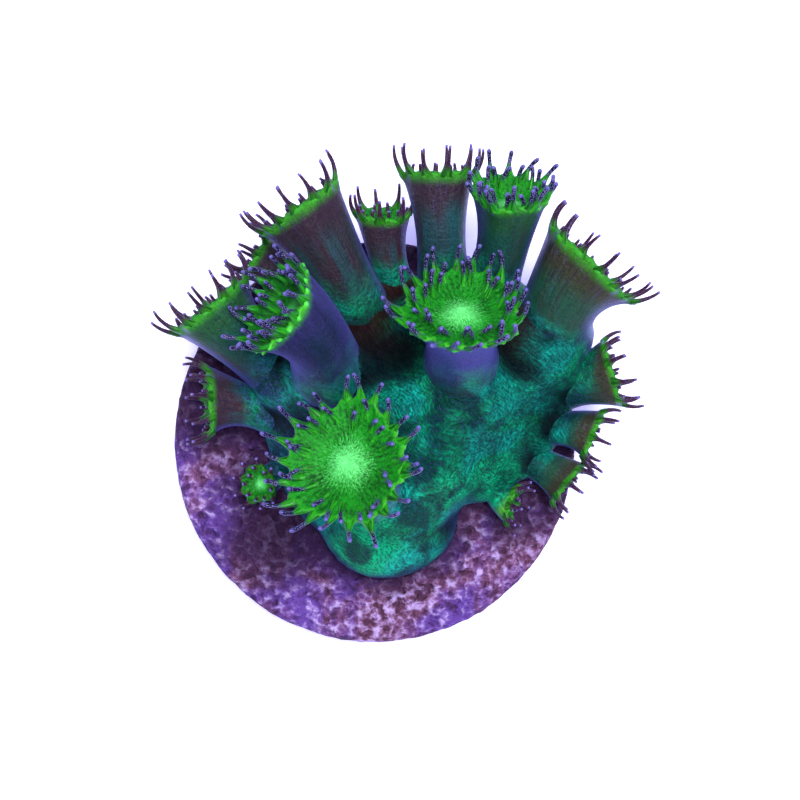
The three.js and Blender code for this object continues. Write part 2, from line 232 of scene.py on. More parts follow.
class Nodes:
    """Adds and links the nodes of one material or one node group."""

    def __init__(self, tree: Tree) -> None:
        """Keeps the tree that the nodes go into."""
        self.tree = tree

    def add(self, kind: str, **settings: object) -> Node:
        """Adds a node.

        Args:
            kind: Blender's name for its type.
            settings: Its properties, by name.

        Returns:
            The node.
        """
        node = self.tree.nodes.new(kind)
        for name, value in settings.items():
            setattr(node, name, value)
        return node

    def feed(self, socket: Socket, source: object) -> None:
        """Links a socket, or sets it.

        Args:
            socket: The socket that is fed.
            source: Another socket, a number, or a colour or vector.
        """
        if isinstance(source, Socket):
            self.tree.links.new(source, socket)
        elif isinstance(source, tuple) and socket.type == "RGBA":
            socket.default_value = (*source, 1.0)
        else:
            socket.default_value = source

    def value(self, name: str) -> Socket:
        """Returns a number that the mesh carries on its points."""
        return self.add("ShaderNodeAttribute", attribute_name=name).outputs["Fac"]

    def place(self, name: str = "") -> Socket:
        """Reads a vector.

        Args:
            name: The mesh value that it comes from, or nothing for the place in metres.

        Returns:
            The vector.
        """
        if name:
            return self.add("ShaderNodeAttribute", attribute_name=name).outputs["Vector"]
        return self.add("ShaderNodeTexCoord").outputs["Object"]

    def stretch(self, vector: Socket, scale: Point, turn: Point = (0.0, 0.0, 0.0)) -> Socket:
        """Scales a vector along three axes.

        Args:
            vector: The vector.
            scale: The scale along each axis.
            turn: How the axes are turned, in radians.

        Returns:
            The scaled vector.
        """
        node = self.add("ShaderNodeMapping", vector_type="TEXTURE")
        self.feed(node.inputs["Vector"], vector)
        node.inputs["Rotation"].default_value = turn
        node.inputs["Scale"].default_value = tuple(1 / share for share in scale)
        return node.outputs["Vector"]

    def bend(self, vector: Socket, scale: float, reach: float) -> Socket:
        """Pushes a vector about with a soft noise.

        Args:
            vector: The vector.
            scale: How many of the noise's bumps fit in one unit.
            reach: The share of the noise in the result.

        Returns:
            The bent vector.
        """
        push = self.add("ShaderNodeTexNoise")
        self.feed(push.inputs["Vector"], vector)
        self.feed(push.inputs["Scale"], scale)
        node = self.add("ShaderNodeMix", data_type="VECTOR")
        self.feed(node.inputs["Factor"], reach)
        self.feed(node.inputs[4], vector)
        self.feed(node.inputs[5], push.outputs["Color"])
        return node.outputs[1]

    def noise(self, vector: Socket, scale: object, detail: float = 3.0, wander: object = 0.0) -> Socket:
        """Adds a noise texture.

        Args:
            vector: Where it is read.
            scale: How many of its bumps fit in one unit.
            detail: How many finer layers it has.
            wander: How much its bumps are bent.

        Returns:
            Its height, from 0 to 1.
        """
        node = self.add("ShaderNodeTexNoise")
        self.feed(node.inputs["Vector"], vector)
        self.feed(node.inputs["Scale"], scale)
        self.feed(node.inputs["Detail"], detail)
        self.feed(node.inputs["Distortion"], wander)
        return node.outputs["Fac"]

    def cells(self, vector: Socket, scale: object, scatter: float = 1.0) -> Socket:
        """Adds round cells.

        Args:
            vector: Where they are read.
            scale: How many of them fit in one unit.
            scatter: How unevenly they lie, from 0 to 1.

        Returns:
            The distance from the nearest cell's centre.
        """
        node = self.add("ShaderNodeTexVoronoi")
        self.feed(node.inputs["Vector"], vector)
        self.feed(node.inputs["Scale"], scale)
        node.inputs["Randomness"].default_value = scatter
        return node.outputs["Distance"]

    def band(self, value: object, low: float, high: float, first: float = 0.0, last: float = 1.0) -> Socket:
        """Turns a number into a soft step.

        Args:
            value: The number that is read.
            low: Where the step starts.
            high: Where the step ends.
            first: The result at the step's start.
            last: The result at the step's end.

        Returns:
            The stepped number.
        """
        node = self.add("ShaderNodeMapRange", interpolation_type="SMOOTHSTEP")
        for name, source in (("Value", value), ("From Min", low), ("From Max", high), ("To Min", first),
                             ("To Max", last)):
            self.feed(node.inputs[name], source)
        return node.outputs["Result"]

    def _work_out(self, kind: str, first: object, second: object) -> Socket:
        """Works out two numbers.

        Args:
            kind: Blender's name for the operation.
            first: The first number.
            second: The second number.

        Returns:
            The result.
        """
        node = self.add("ShaderNodeMath", operation=kind)
        self.feed(node.inputs[0], first)
        self.feed(node.inputs[1], second)
        return node.outputs[0]

    def plus(self, first: object, second: object) -> Socket:
        """Adds two numbers."""
        return self._work_out("ADD", first, second)

    def minus(self, first: object, second: object) -> Socket:
        """Takes the second number from the first."""
        return self._work_out("SUBTRACT", first, second)

    def times(self, first: object, second: object) -> Socket:
        """Multiplies two numbers."""
        return self._work_out("MULTIPLY", first, second)

    def mix(self, share: object, first: object, second: object) -> Socket:
        """Mixes two colours.

        Args:
            share: The share of the second colour.
            first: The first colour.
            second: The second colour.

        Returns:
            The mixed colour.
        """
        node = self.add("ShaderNodeMix", data_type="RGBA")
        self.feed(node.inputs["Factor"], share)
        self.feed(node.inputs[6], first)
        self.feed(node.inputs[7], second)
        return node.outputs[2]

    def group(self, tree: Tree, **inputs: object) -> Node:
        """Places a node group.

        Args:
            tree: The group.
            inputs: What feeds its inputs, by name.

        Returns:
            The placed group.
        """
        node = self.add("ShaderNodeGroup", node_tree=tree)
        for name, source in inputs.items():
            self.feed(node.inputs[name], source)
        return node

    def raise_by(self, height: Socket, depth: float) -> Socket:
        """Turns a height into a bumped normal.

        Args:
            height: The height, from 0 to 1.
            depth: How deep the bumps are, in millimetres.

        Returns:
            The normal.
        """
        node = self.add("ShaderNodeBump")
        node.inputs["Distance"].default_value = depth * MM
        self.feed(node.inputs["Height"], height)
        return node.outputs["Normal"]


def new_group(name: str, inputs: dict[str, str], outputs: dict[str, str]) -> tuple[Tree, Node, Node]:
    """Starts a shader node group.

    Args:
        name: The group's name.
        inputs: The socket type of each named input.
        outputs: The socket type of each named output.

    Returns:
        The group's tree, its input node and its output node.
    """
    tree = bpy.data.node_groups.new(name, "ShaderNodeTree")
    for direction, sockets in (("INPUT", inputs), ("OUTPUT", outputs)):
        for socket_name, kind in sockets.items():
            tree.interface.new_socket(name=socket_name, in_out=direction, socket_type=kind)
    return tree, tree.nodes.new("NodeGroupInput"), tree.nodes.new("NodeGroupOutput")


NUMBER = "NodeSocketFloat"
VECTOR = "NodeSocketVector"
COLOUR = "NodeSocketColor"


@dataclass(frozen=True)
class FleshFibre:
    """The fine streaks and pale specks that run through all the coral's flesh, as a node group."""

    streak_low: float = 0.38
    streak_high: float = 0.7
    speck_size: float = 0.2

    def tree(self) -> Tree:
        """Builds the group.

        Returns:
            The group. Its Streak and Speck are masks, and its Height lifts both.
        """
        tree, given, result = new_group(
            "flesh_fibre",
            {"Place": VECTOR, "Fibres": NUMBER, "Specks": NUMBER, "Wander": NUMBER},
            {"Streak": NUMBER, "Speck": NUMBER, "Height": NUMBER},
        )
        nodes = Nodes(tree)
        lines = nodes.noise(given.outputs["Place"], given.outputs["Fibres"], 6.0, given.outputs["Wander"])
        streak = nodes.band(lines, self.streak_low, self.streak_high)
        dots = nodes.cells(given.outputs["Place"], given.outputs["Specks"])
        speck = nodes.band(dots, self.speck_size, self.speck_size * 2, 1.0, 0.0)
        nodes.feed(result.inputs["Streak"], streak)
        nodes.feed(result.inputs["Speck"], speck)
        nodes.feed(result.inputs["Height"], nodes.plus(lines, nodes.times(speck, 0.3)))
        return tree


@dataclass(frozen=True)
class PaintedEdgeSheen:
    """A painted lilac sheen where the flesh turns away from the view, as a node group."""

    start: float = 0.45
    end: float = 0.98

    def tree(self) -> Tree:
        """Builds the group.

        Returns:
            The group. Its input Facing grows from 0 to 1 as the surface turns away.
        """
        tree, given, result = new_group(
            "painted_edge_sheen",
            {"Colour": COLOUR, "Tint": COLOUR, "Facing": NUMBER, "Strength": NUMBER},
            {"Colour": COLOUR},
        )
        nodes = Nodes(tree)
        # Painted sheen: the lilac tint grows as the surface turns away from the view.
        away = nodes.band(given.outputs["Facing"], self.start, self.end)
        share = nodes.times(away, given.outputs["Strength"])
        nodes.feed(result.inputs["Colour"], nodes.mix(share, given.outputs["Colour"], given.outputs["Tint"]))
        return tree


@dataclass(frozen=True)
class MoundFlesh:
    """The mound's flesh, as a node group: turquoise fibres and lavender specks on teal, with painted shade
    in the valleys and a painted brighter front.

    Scales are counts in one metre. Pairs are the places between which something fades, from left to right or
    from front to rear.
    """

    valley_shade: Colour = (0.0, 0.003, 0.005)
    rear_shade: Colour = (0.02, 0.003, 0.003)
    teal: Colour = (0.0, 0.013, 0.014)
    light: Colour = (0.005, 0.46, 0.33)
    green: Colour = (0.002, 0.5, 0.2)
    lavender: Colour = (0.06, 0.075, 0.36)
    fibres: float = 8000.0
    crossing_fibres: float = 9500.0
    specks: float = 12000.0
    blotches: float = 450.0
    bends: float = 260.0
    bend_reach: float = 0.0022
    hues: float = 330.0
    left_wash: Pair = (-0.0062, -0.0018)
    painted_front_light: Pair = (-0.0046, -0.0006)
    rear_shade_span: Pair = (0.0045, 0.0085)

    def tree(self, fibre: Tree) -> Tree:
        """Builds the group.

        Args:
            fibre: The group of streaks and specks.

        Returns:
            The group. Its input Ridge is 0 in a valley and 1 on a ridge; valleys take painted shade.
        """
        tree, given, result = new_group("mound_flesh", {"Place": VECTOR, "Ridge": NUMBER},
                                        {"Colour": COLOUR, "Height": NUMBER})
        nodes = Nodes(tree)
        place = given.outputs["Place"]
        bent = nodes.bend(place, self.bends, self.bend_reach)
        flow = nodes.stretch(bent, (1.0, 0.25, 0.8), (0.0, 0.0, 0.85))
        cross_flow = nodes.stretch(bent, (1.0, 0.22, 0.8), (0.0, 0.0, -0.35))
        flesh = nodes.group(fibre, Place=flow, Fibres=self.fibres, Specks=self.specks, Wander=0.3)
        crossing = nodes.band(nodes.noise(cross_flow, self.crossing_fibres, 5.0, 0.3), 0.46, 0.68)
        blotches = nodes.noise(place, self.blotches, 6.0, 0.6)
        axes = nodes.add("ShaderNodeSeparateXYZ")
        nodes.feed(axes.inputs[0], place)
        patch = nodes.band(blotches, 0.36, 0.64, 0.12, 1.0)
        woven = nodes.plus(nodes.times(flesh.outputs["Streak"], 0.5), nodes.times(crossing, 0.34))
        # Painted light: the share of light fibres grows toward the front of the mound.
        painted_front_gain = nodes.band(axes.outputs["Y"], *self.painted_front_light, 1.75, 0.95)
        lit = nodes.times(nodes.times(patch, nodes.plus(woven, 0.2)), painted_front_gain)
        hue = nodes.band(nodes.noise(place, self.hues, 3.0, 0.4), 0.4, 0.6)
        colour = nodes.mix(lit, self.teal, nodes.mix(hue, self.green, self.light))
        speck = nodes.times(flesh.outputs["Speck"], nodes.band(blotches, 0.4, 0.6, 0.4, 0.02))
        colour = nodes.mix(speck, colour, self.lavender)
        wash = nodes.times(nodes.band(axes.outputs["X"], *self.left_wash, 0.6, 0.0), crossing)
        colour = nodes.mix(wash, colour, self.lavender)
        # Painted shade: valleys darken to dark teal, and to dark red toward the rear.
        shade = nodes.mix(nodes.band(axes.outputs["Y"], *self.rear_shade_span), self.valley_shade, self.rear_shade)
        valley = nodes.band(given.outputs["Ridge"], 0.0, 0.8, 0.96, 0.0)
        nodes.feed(result.inputs["Colour"], nodes.mix(valley, colour, shade))
        nodes.feed(result.inputs["Height"], flesh.outputs["Height"])
        return tree


@dataclass(frozen=True)
class FleshGroups:
    """The node groups that the coral's materials share."""

    fibre: Tree
    edge: Tree
    mound: Tree


def new_material(name: str, roughness: float, shine: float = 0.15) -> tuple[Material, Nodes, Node]:
    """Starts a material around one Principled shader.

    Args:
        name: The material's name.
        roughness: The shader's even roughness.
        shine: How much the surface mirrors, from 0 to 1.

    Returns:
        The material, its node adder and its Principled shader.
    """
    material = bpy.data.materials.new(name)
    material.use_nodes = True
    shader = material.node_tree.nodes["Principled BSDF"]
    shader.inputs["Roughness"].default_value = roughness
    shader.inputs["Specular IOR Level"].default_value = shine
    return material, Nodes(material.node_tree), shader


@dataclass(frozen=True)
class CrustFinish:
    """Coralline algae on ceramic: violet and rose patches, pale grains and brown grit between them, with
    painted shade beside the mound and under the polyps.

    Scales are counts in one metre, and the relief is in millimetres.
    """

    violet: Colour = (0.14, 0.06, 0.32)
    rose: Colour = (0.23, 0.085, 0.18)
    pale: Colour = (0.62, 0.44, 0.82)
    grit: Colour = (0.04, 0.012, 0.02)
    shade: Colour = (0.035, 0.012, 0.045)
    ceramic: Colour = (0.3, 0.22, 0.36)
    patches: float = 260.0
    grains: float = 1500.0
    speckles: float = 2600.0
    relief: float = 1.6

    def material(self) -> Material:
        """Builds the material.

        Returns:
            The material. The mesh carries crust, 1 on the algae, and shade, 1 where shade is painted.
        """
        material, nodes, shader = new_material("coralline_crust", roughness=0.85)
        place = nodes.place()
        patches = nodes.noise(place, self.patches, 4.0, 0.8)
        grains = nodes.noise(place, self.grains, 6.0, 0.2)
        speckle = nodes.noise(nodes.stretch(place, (1.0, 1.15, 1.0)), self.speckles, 5.0, 0.2)
        colour = nodes.mix(nodes.band(patches, 0.4, 0.6), self.violet, self.rose)
        grainy = nodes.plus(nodes.times(grains, 0.65), nodes.times(speckle, 0.35))
        rough = nodes.plus(grainy, nodes.times(patches, 0.2))
        colour = nodes.mix(nodes.band(rough, 0.58, 0.78), colour, self.pale)
        pits = nodes.minus(grainy, nodes.times(patches, 0.2))
        colour = nodes.mix(nodes.band(pits, 0.27, 0.42, 0.75, 0.0), colour, self.grit)
        # Painted shade: the crust darkens beside the mound's foot, under the polyps and in the painted
        # shadows.
        colour = nodes.mix(nodes.times(nodes.value("shade"), 0.9), colour, self.shade)
        colour = nodes.mix(nodes.value("crust"), self.ceramic, colour)
        nodes.feed(shader.inputs["Base Color"], colour)
        nodes.feed(shader.inputs["Normal"], nodes.raise_by(grainy, self.relief))
        return material


@dataclass(frozen=True)
class MoundFinish:
    """The mound's finish: its flesh, with a painted lilac sheen where it turns away from the view."""

    lilac_and_sheen: Colour = (0.06, 0.075, 0.36)
    sheen_share: float = 0.4
    relief: float = 0.3

    def material(self, groups: FleshGroups) -> Material:
        """Builds the material.

        Args:
            groups: The shared node groups.

        Returns:
            The material. The mesh carries ridge, from 0 in a valley to 1 on a ridge, which sets its painted
            shade.
        """
        material, nodes, shader = new_material("mound_flesh", roughness=0.5, shine=0.08)
        flesh = nodes.group(groups.mound, Place=nodes.place(), Ridge=nodes.value("ridge"))
        # Painted sheen: lilac where the mound turns away from the view.
        away = nodes.add("ShaderNodeLayerWeight").outputs["Facing"]
        with_sheen = nodes.group(groups.edge, Colour=flesh.outputs["Colour"], Tint=self.lilac_and_sheen, Facing=away,
                            Strength=self.sheen_share)
        nodes.feed(shader.inputs["Base Color"], with_sheen.outputs["Colour"])
        nodes.feed(shader.inputs["Normal"], nodes.raise_by(flesh.outputs["Height"], self.relief))
        return material


@dataclass(frozen=True)
class PolypFinish:
    """A polyp's stalk, with bands that run along it, and its bright green rim and oral disc; with a painted
    lilac sheen where the stalk turns away, painted shade in the disc's low ring and a painted green glow at
    its heart.
    """

    main: Colour
    stripe: Colour
    collar: Colour
    main_share: float = 0.1
    lilac_and_sheen: Colour = (0.12, 0.11, 0.46)
    dark: Colour = (0.012, 0.008, 0.03)
    rim: Colour = (0.03, 0.27, 0.01)
    bead: Colour = (0.09, 0.7, 0.07)
    disc: Colour = (0.008, 0.255, 0.01)
    groove: Colour = (0.003, 0.06, 0.005)
    heart: Colour = (0.12, 0.65, 0.16)
    glow: float = 0.52
    sheen_share: float = 0.75
    fibres: float = 4200.0
    specks: float = 9500.0
    relief: float = 0.12

    def stalk(self, nodes: Nodes, flesh: Node, root: Socket, rise: Socket, grain: Socket) -> Socket:
        """Mixes the stalk's colour.

        Args:
            nodes: The material's node adder.
            flesh: The placed group of streaks and specks.
            root: The colour of the mound's flesh.
            rise: How far up the stalk a point is.
            grain: The vector that follows the stalk round and along.

        Returns:
            The colour, from the teal foot to the green edge of the rim.
        """
        bands = nodes.noise(nodes.stretch(grain, (1.1, 1.1, 0.5)), 1.0, 4.0, 0.6)
        lines = nodes.noise(nodes.stretch(grain, (34.0, 34.0, 6.0)), 1.0, 5.0, 0.5)
        colour = nodes.mix(nodes.band(bands, 0.32 - self.main_share, 0.72 - self.main_share),
                           self.stripe, self.main)
        collar = nodes.plus(rise, nodes.times(bands, 0.2))
        colour = nodes.mix(nodes.band(collar, 0.75, 0.98), colour, self.collar)
        colour = nodes.mix(nodes.band(lines, 0.5, 0.68, 0.0, 0.6), colour, self.dark)
        colour = nodes.mix(nodes.band(lines, 0.32, 0.46, 0.12, 0.0), colour, self.lilac_and_sheen)
        colour = nodes.mix(nodes.times(flesh.outputs["Speck"], 0.6), colour, self.dark)
        foot = nodes.plus(nodes.value("foot"), nodes.times(bands, 0.4))
        colour = nodes.mix(nodes.band(foot, 0.4, 1.1), colour, root)
        edge = nodes.plus(rise, nodes.times(lines, 0.07))
        return nodes.mix(nodes.band(edge, 0.95, 1.045), colour, self.rim)

    def oral_disc(self, nodes: Nodes, rays: Socket, radial: Socket, ridge: Socket) -> Socket:
        """Mixes the oral disc's colour.

        Args:
            nodes: The material's node adder.
            rays: A noise of fine rays.
            radial: How far out a point is, from 0 at the mouth to 1 at the rim.
            ridge: The height of the septa, from 0 to 1.

        Returns:
            The colour, with painted shade in the low ring of the cup between the pale mouth and the green
            edge of the rim.
        """
        blotch = nodes.noise(nodes.place(), 800.0, 5.0, 0.5)
        # Painted shade: the tone drops in the low ring of the cup.
        trough_shade = nodes.minus(nodes.band(radial, 0.25, 0.6), nodes.band(radial, 0.78, 0.98))
        tone = nodes.plus(nodes.times(ridge, 0.4), nodes.plus(rays, blotch))
        tone = nodes.minus(tone, nodes.times(trough_shade, 0.16))
        colour = nodes.mix(nodes.band(tone, 0.87, 1.34), self.groove, self.disc)
        return nodes.mix(nodes.band(radial, 0.9, 1.0, 0.0, 0.6), colour, self.rim)

    def material(self, name: str, groups: FleshGroups) -> Material:
        """Builds the material.

        Args:
            name: The material's name.
            groups: The shared node groups.

        Returns:
            The material. The mesh carries rise along the stalk, foot, 1 where the stalk leaves the mound,
            radial and ridge across the disc, is_disc, bead and grain.
        """
        material, nodes, shader = new_material(name, roughness=0.45)
        grain = nodes.place("grain")
        flesh = nodes.group(groups.fibre, Place=nodes.place(), Fibres=self.fibres, Specks=self.specks,
                            Wander=0.6)
        root = nodes.group(groups.mound, Place=nodes.place(), Ridge=0.6).outputs["Colour"]
        stalk = self.stalk(nodes, flesh, root, nodes.value("rise"), grain)
        # Painted sheen: lilac where the stalk turns away from the view.
        away = nodes.add("ShaderNodeLayerWeight").outputs["Facing"]
        with_sheen = nodes.group(groups.edge, Colour=stalk, Tint=self.lilac_and_sheen, Facing=away,
                            Strength=self.sheen_share)
        radial = nodes.value("radial")
        rays = nodes.noise(nodes.stretch(grain, (30.0, 30.0, 3.0)), 1.0, 4.0, 0.3)
        disc = self.oral_disc(nodes, rays, radial, nodes.value("ridge"))
        haze = nodes.minus(radial, nodes.times(rays, 0.85))
        heart = nodes.band(haze, -0.5, 0.06, 1.0, 0.0)
        is_disc = nodes.band(nodes.value("is_disc"), 0.4, 0.6)
        colour = nodes.mix(is_disc, with_sheen.outputs["Colour"], nodes.mix(heart, disc, self.heart))
        colour = nodes.mix(nodes.value("bead"), colour, self.bead)
        nodes.feed(shader.inputs["Base Color"], colour)
        # Painted light: the heart of the oral disc glows green though it is no lamp.
        glowing = nodes.times(heart, is_disc)
        nodes.feed(shader.inputs["Emission Color"], nodes.mix(glowing, (0.0, 0.0, 0.0), self.heart))
        shader.inputs["Emission Strength"].default_value = self.glow
        nodes.feed(shader.inputs["Normal"], nodes.raise_by(flesh.outputs["Height"], self.relief))
        return material


POLYP_FINISHES = {
    StalkTint.LAVENDER: PolypFinish(main=(0.05, 0.05, 0.25), stripe=(0.01, 0.055, 0.13),
                                    collar=(0.045, 0.045, 0.23), rim=(0.05, 0.42, 0.01)),
    # Painted shade: the indigo polyp's oral disc and heart are darker, for the shade inside its cup.
    StalkTint.INDIGO: PolypFinish(main=(0.02, 0.019, 0.09), stripe=(0.003, 0.024, 0.038),
                                  collar=(0.02, 0.02, 0.085), main_share=0.06, rim=(0.05, 0.42, 0.01),
                                  disc=(0.006, 0.17, 0.008), heart=(0.03, 0.36, 0.05)),
    StalkTint.RUSSET: PolypFinish(main=(0.05, 0.007, 0.01), stripe=(0.012, 0.07, 0.07),
                                  collar=(0.036, 0.02, 0.026), main_share=-0.03),
    StalkTint.TEAL: PolypFinish(main=(0.004, 0.065, 0.038), stripe=(0.035, 0.01, 0.012),
                                collar=(0.01, 0.075, 0.02), main_share=0.16),
    StalkTint.OLIVE: PolypFinish(main=(0.01, 0.078, 0.033), stripe=(0.045, 0.012, 0.022),
                                 collar=(0.035, 0.035, 0.012), main_share=0.2),
    StalkTint.LIME: PolypFinish(main=(0.05, 0.3, 0.02), stripe=(0.01, 0.16, 0.04),
                                collar=(0.08, 0.38, 0.02)),
}


@dataclass(frozen=True)
class TentacleFinish:
    """A tentacle: green where it leaves the rim, then dark and speckled, with a pale lilac tip and a painted
    lilac sheen where it turns away.
    """

    green_until: float
    shaft: Colour
    tip: Colour
    lilac_and_sheen: Colour
    root: Colour = (0.02, 0.32, 0.01)
    groove: Colour = (0.003, 0.07, 0.004)
    dots: Colour = (0.28, 0.24, 0.58)
    dot_scale: float = 11000.0
    relief: float = 0.04

    def material(self, name: str, groups: FleshGroups) -> Material:
        """Builds the material.

        Args:
            name: The material's name.
            groups: The shared node groups.

        Returns:
            The material. The mesh carries along, from 0 at a tentacle's root to 1 at its tip.
        """
        material, nodes, shader = new_material(name, roughness=0.4)
        along = nodes.value("along")
        dots = nodes.band(nodes.cells(nodes.place(), self.dot_scale, 0.8), 0.25, 0.42, 1.0, 0.0)
        shaft = nodes.mix(dots, self.shaft, self.dots)
        streaks = nodes.noise(nodes.stretch(nodes.place("grain"), (2.2, 2.2, 0.8)), 1.0, 3.0)
        root = nodes.mix(nodes.band(streaks, 0.36, 0.6), self.groove, self.root)
        colour = nodes.mix(nodes.band(along, self.green_until - 0.18, self.green_until + 0.1), root, shaft)
        colour = nodes.mix(nodes.band(along, 0.86, 1.0), colour, self.tip)
        # Painted sheen: lilac where the tentacle turns away from the view, stronger beyond its green root.
        away = nodes.add("ShaderNodeLayerWeight").outputs["Facing"]
        lilac_and_sheen = nodes.band(along, self.green_until - 0.1, self.green_until + 0.15, 0.3, 0.9)
        with_sheen = nodes.group(groups.edge, Colour=colour, Tint=self.lilac_and_sheen, Facing=away, Strength=lilac_and_sheen)
        nodes.feed(shader.inputs["Base Color"], with_sheen.outputs["Colour"])
        nodes.feed(shader.inputs["Normal"], nodes.raise_by(dots, self.relief))
        return material


TENTACLE_FINISHES = {
    Fringe.CLUB: TentacleFinish(green_until=0.5, shaft=(0.006, 0.005, 0.025), tip=(0.14, 0.12, 0.42),
                                lilac_and_sheen=(0.22, 0.2, 0.7)),
    Fringe.CLAW: TentacleFinish(green_until=0.34, shaft=(0.03, 0.006, 0.018), tip=(0.2, 0.15, 0.5),
                                lilac_and_sheen=(0.16, 0.1, 0.36), root=(0.025, 0.2, 0.008), dots=(0.09, 0.05, 0.15)),
}


def dress(piece: bpy.types.Object, slot: Slot, node: str, *materials: Material) -> None:
    """Gives a piece its materials, hangs it on the body and hides the solid that it replaces.

    Args:
        piece: The piece.
        slot: The record's material slot of its finish. Not used.
        node: The solid that it replaces.
        materials: Its materials, in the order that its faces number them.
    """
    for material in materials:
        piece.data.materials.append(material)
    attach(piece, BODY)
    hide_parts(node)
    log.info("%s: %d faces", piece.name, len(piece.data.polygons))


# Frag disc


@dataclass
class FragDisc:
    """The round ceramic disc, with a lumpy crust of coralline algae on its top and its edge."""

    radius: float = 12.7
    top: float = 3.2
    chamfer: float = 0.5
    sectors: int = 260
    top_rings: int = 110
    side_rings: int = 14
    film: float = 0.12
    lump: float = 0.42
    lump_grain: float = 1.6
    fine_grain: float = 0.55
    shade_reach: Pair = (0.2, 3.4)

    # The two ends of each painted shadow on the crust, and its radius at each end.
    PAINTED_SHADOWS = [((-3.6, -5.0, 0.0), (-6.6, -6.0, 0.0), (1.4, 1.3))]

    def profile(self) -> tuple[np.ndarray, np.ndarray, np.ndarray]:
        """Lists the disc's rings, from the underside to the middle of the top.

        Returns:
            The radius, the height and the share of crust of each ring.
        """
        low = np.array([[self.radius - 1.6 * self.chamfer, 0.0, 0.0], [self.radius - self.chamfer, 0.0, 0.0],
                        [self.radius - 0.3 * self.chamfer, 0.3 * self.chamfer, 0.0],
                        [self.radius, self.chamfer, 0.1]])
        side_height = np.linspace(self.chamfer * 1.3, self.top - self.chamfer, self.side_rings)
        side = np.stack([np.full(self.side_rings, self.radius), side_height,
                         smooth(side_height, 0.6, 1.6)], axis=1)
        turn = np.linspace(0.15, 0.5, 5) * math.pi
        shoulder = np.stack([self.radius - self.chamfer * (1 - np.cos(turn)),
                             self.top - self.chamfer * (1 - np.sin(turn)), np.ones(5)], axis=1)
        across = np.linspace(0.985, 0.02, self.top_rings) * (self.radius - self.chamfer)
        flat = np.stack([across, np.full(self.top_rings, self.top), np.ones(self.top_rings)], axis=1)
        rings = np.concatenate([low, side, shoulder, flat])
        return rings[:, 0], rings[:, 1], rings[:, 2]

    def shade(self, points: np.ndarray, mound: "CoralMound") -> np.ndarray:
        """Finds where shade is painted on the crust: beside the mound's foot, under the polyps and in the
        painted shadows.

        Args:
            points: Points of the crust, in the shape (count, 3).
            mound: The mound that stands on it.

        Returns:
            1 in the dark and 0 in the light, for each point.
        """
        beside = 1.5 * mound.distance(points)
        # Painted shadow under each polyp: its stalk and rim, flattened onto the disc's top.
        shadows = [(polyp.base, polyp.centre, (polyp.stalk * 0.8, polyp.rim * 0.75))
                   for polyp in mound.polyps]
        for start, end, radii in shadows + self.PAINTED_SHADOWS:
            flat_start, flat_end = ((*place[:2], self.top) for place in (start, end))
            beside = np.minimum(beside, Lobe(flat_start, flat_end, radii).distance(points))
        return 1 - smooth(beside, *self.shade_reach)

    def build(self, crust: Material, mound: "CoralMound") -> None:
        """Builds the disc and dresses it.

        Args:
            crust: Its material.
            mound: The mound that stands on it.
        """
        radius, height, crusted = self.profile()
        turn = np.linspace(0, 2 * math.pi, self.sectors, endpoint=False)
        outwards = np.stack([np.cos(turn), np.sin(turn), np.zeros_like(turn)], axis=1)
        rings = radius[:, None, None] * outwards[None]
        rings[..., 2] = height[:, None]
        coarse = roughness_at(rings, self.lump_grain)
        fine = roughness_at(rings + 40.0, self.fine_grain)
        lumps = coarse * 0.45 + fine * 0.45
        is_top = smooth(height, self.top - self.chamfer, self.top)[:, None]
        rings[..., 2] += crusted[:, None] * is_top * (self.film + self.lump * lumps)
        grown = (1 - is_top) * crusted[:, None] * self.film * (lumps - 0.3)
        rings += grown[..., None] * outwards[None]
        uneven = rings + outwards[None] * (1.2 * lumps)[..., None]
        shade = self.shade(uneven.reshape(-1, 3), mound).reshape(rings.shape[:2])
        skin = Skin("crust", "shade")
        skin.tube(rings, {"crust": np.broadcast_to(crusted[:, None], rings.shape[:2]), "shade": shade})
        dress(skin.piece("crusted_disc"), Slot.DISC, "frag_disc", crust)


# Polyps


@dataclass(frozen=True)
class TentacleForm:
    """The shape of one kind of tentacle: radii in millimetres, and lengths as shares of the polyp's reach.

    Curl and sway are in radians, and scatter, the unevenness of the lift, is in degrees.
    """

    root: float
    shaft: float
    tip: float
    web: float
    is_round_tipped: bool
    curl: Pair
    length: Pair
    inner_share: float
    inner_depth: float
    jitter: float
    sway: float
    green: float
    scatter: float
    rings: int = 13
    sides: int = 8

    def radii(self, steps: np.ndarray) -> np.ndarray:
        """Works out a wide root, a shaft and a round or pointed tip.

        Args:
            steps: Shares of the tentacle's length.

        Returns:
            The radius at each of them.
        """
        root = (self.root - self.shaft) * np.clip(1 - steps / self.green, 0, 1) ** 1.4
        if self.is_round_tipped:
            bulb = (self.tip - self.shaft) * smooth(steps, 0.7, 0.88)
            cap = np.sqrt(np.clip(1 - np.clip((steps - 0.9) / 0.105, 0, 1) ** 2, 0.02, 1))
            return (self.shaft + root + bulb) * cap
        return root + self.shaft + (self.tip - self.shaft) * np.clip((steps - 0.25) / 0.75, 0, 1)


FORMS = {
    Fringe.CLUB: TentacleForm(root=0.18, shaft=0.125, tip=0.14, web=2.5, is_round_tipped=True,
                              curl=(0.1, 0.9), length=(0.95, 1.45), inner_share=0.85, inner_depth=0.24,
                              jitter=0.4, sway=0.9, green=0.5, scatter=12),
    Fringe.CLAW: TentacleForm(root=0.2, shaft=0.145, tip=0.08, web=2.2, is_round_tipped=False,
                              curl=(0.55, 1.0), length=(1.1, 1.35), inner_share=0.5, inner_depth=0.1,
                              jitter=0.1, sway=0.18, green=0.42, scatter=6),
}


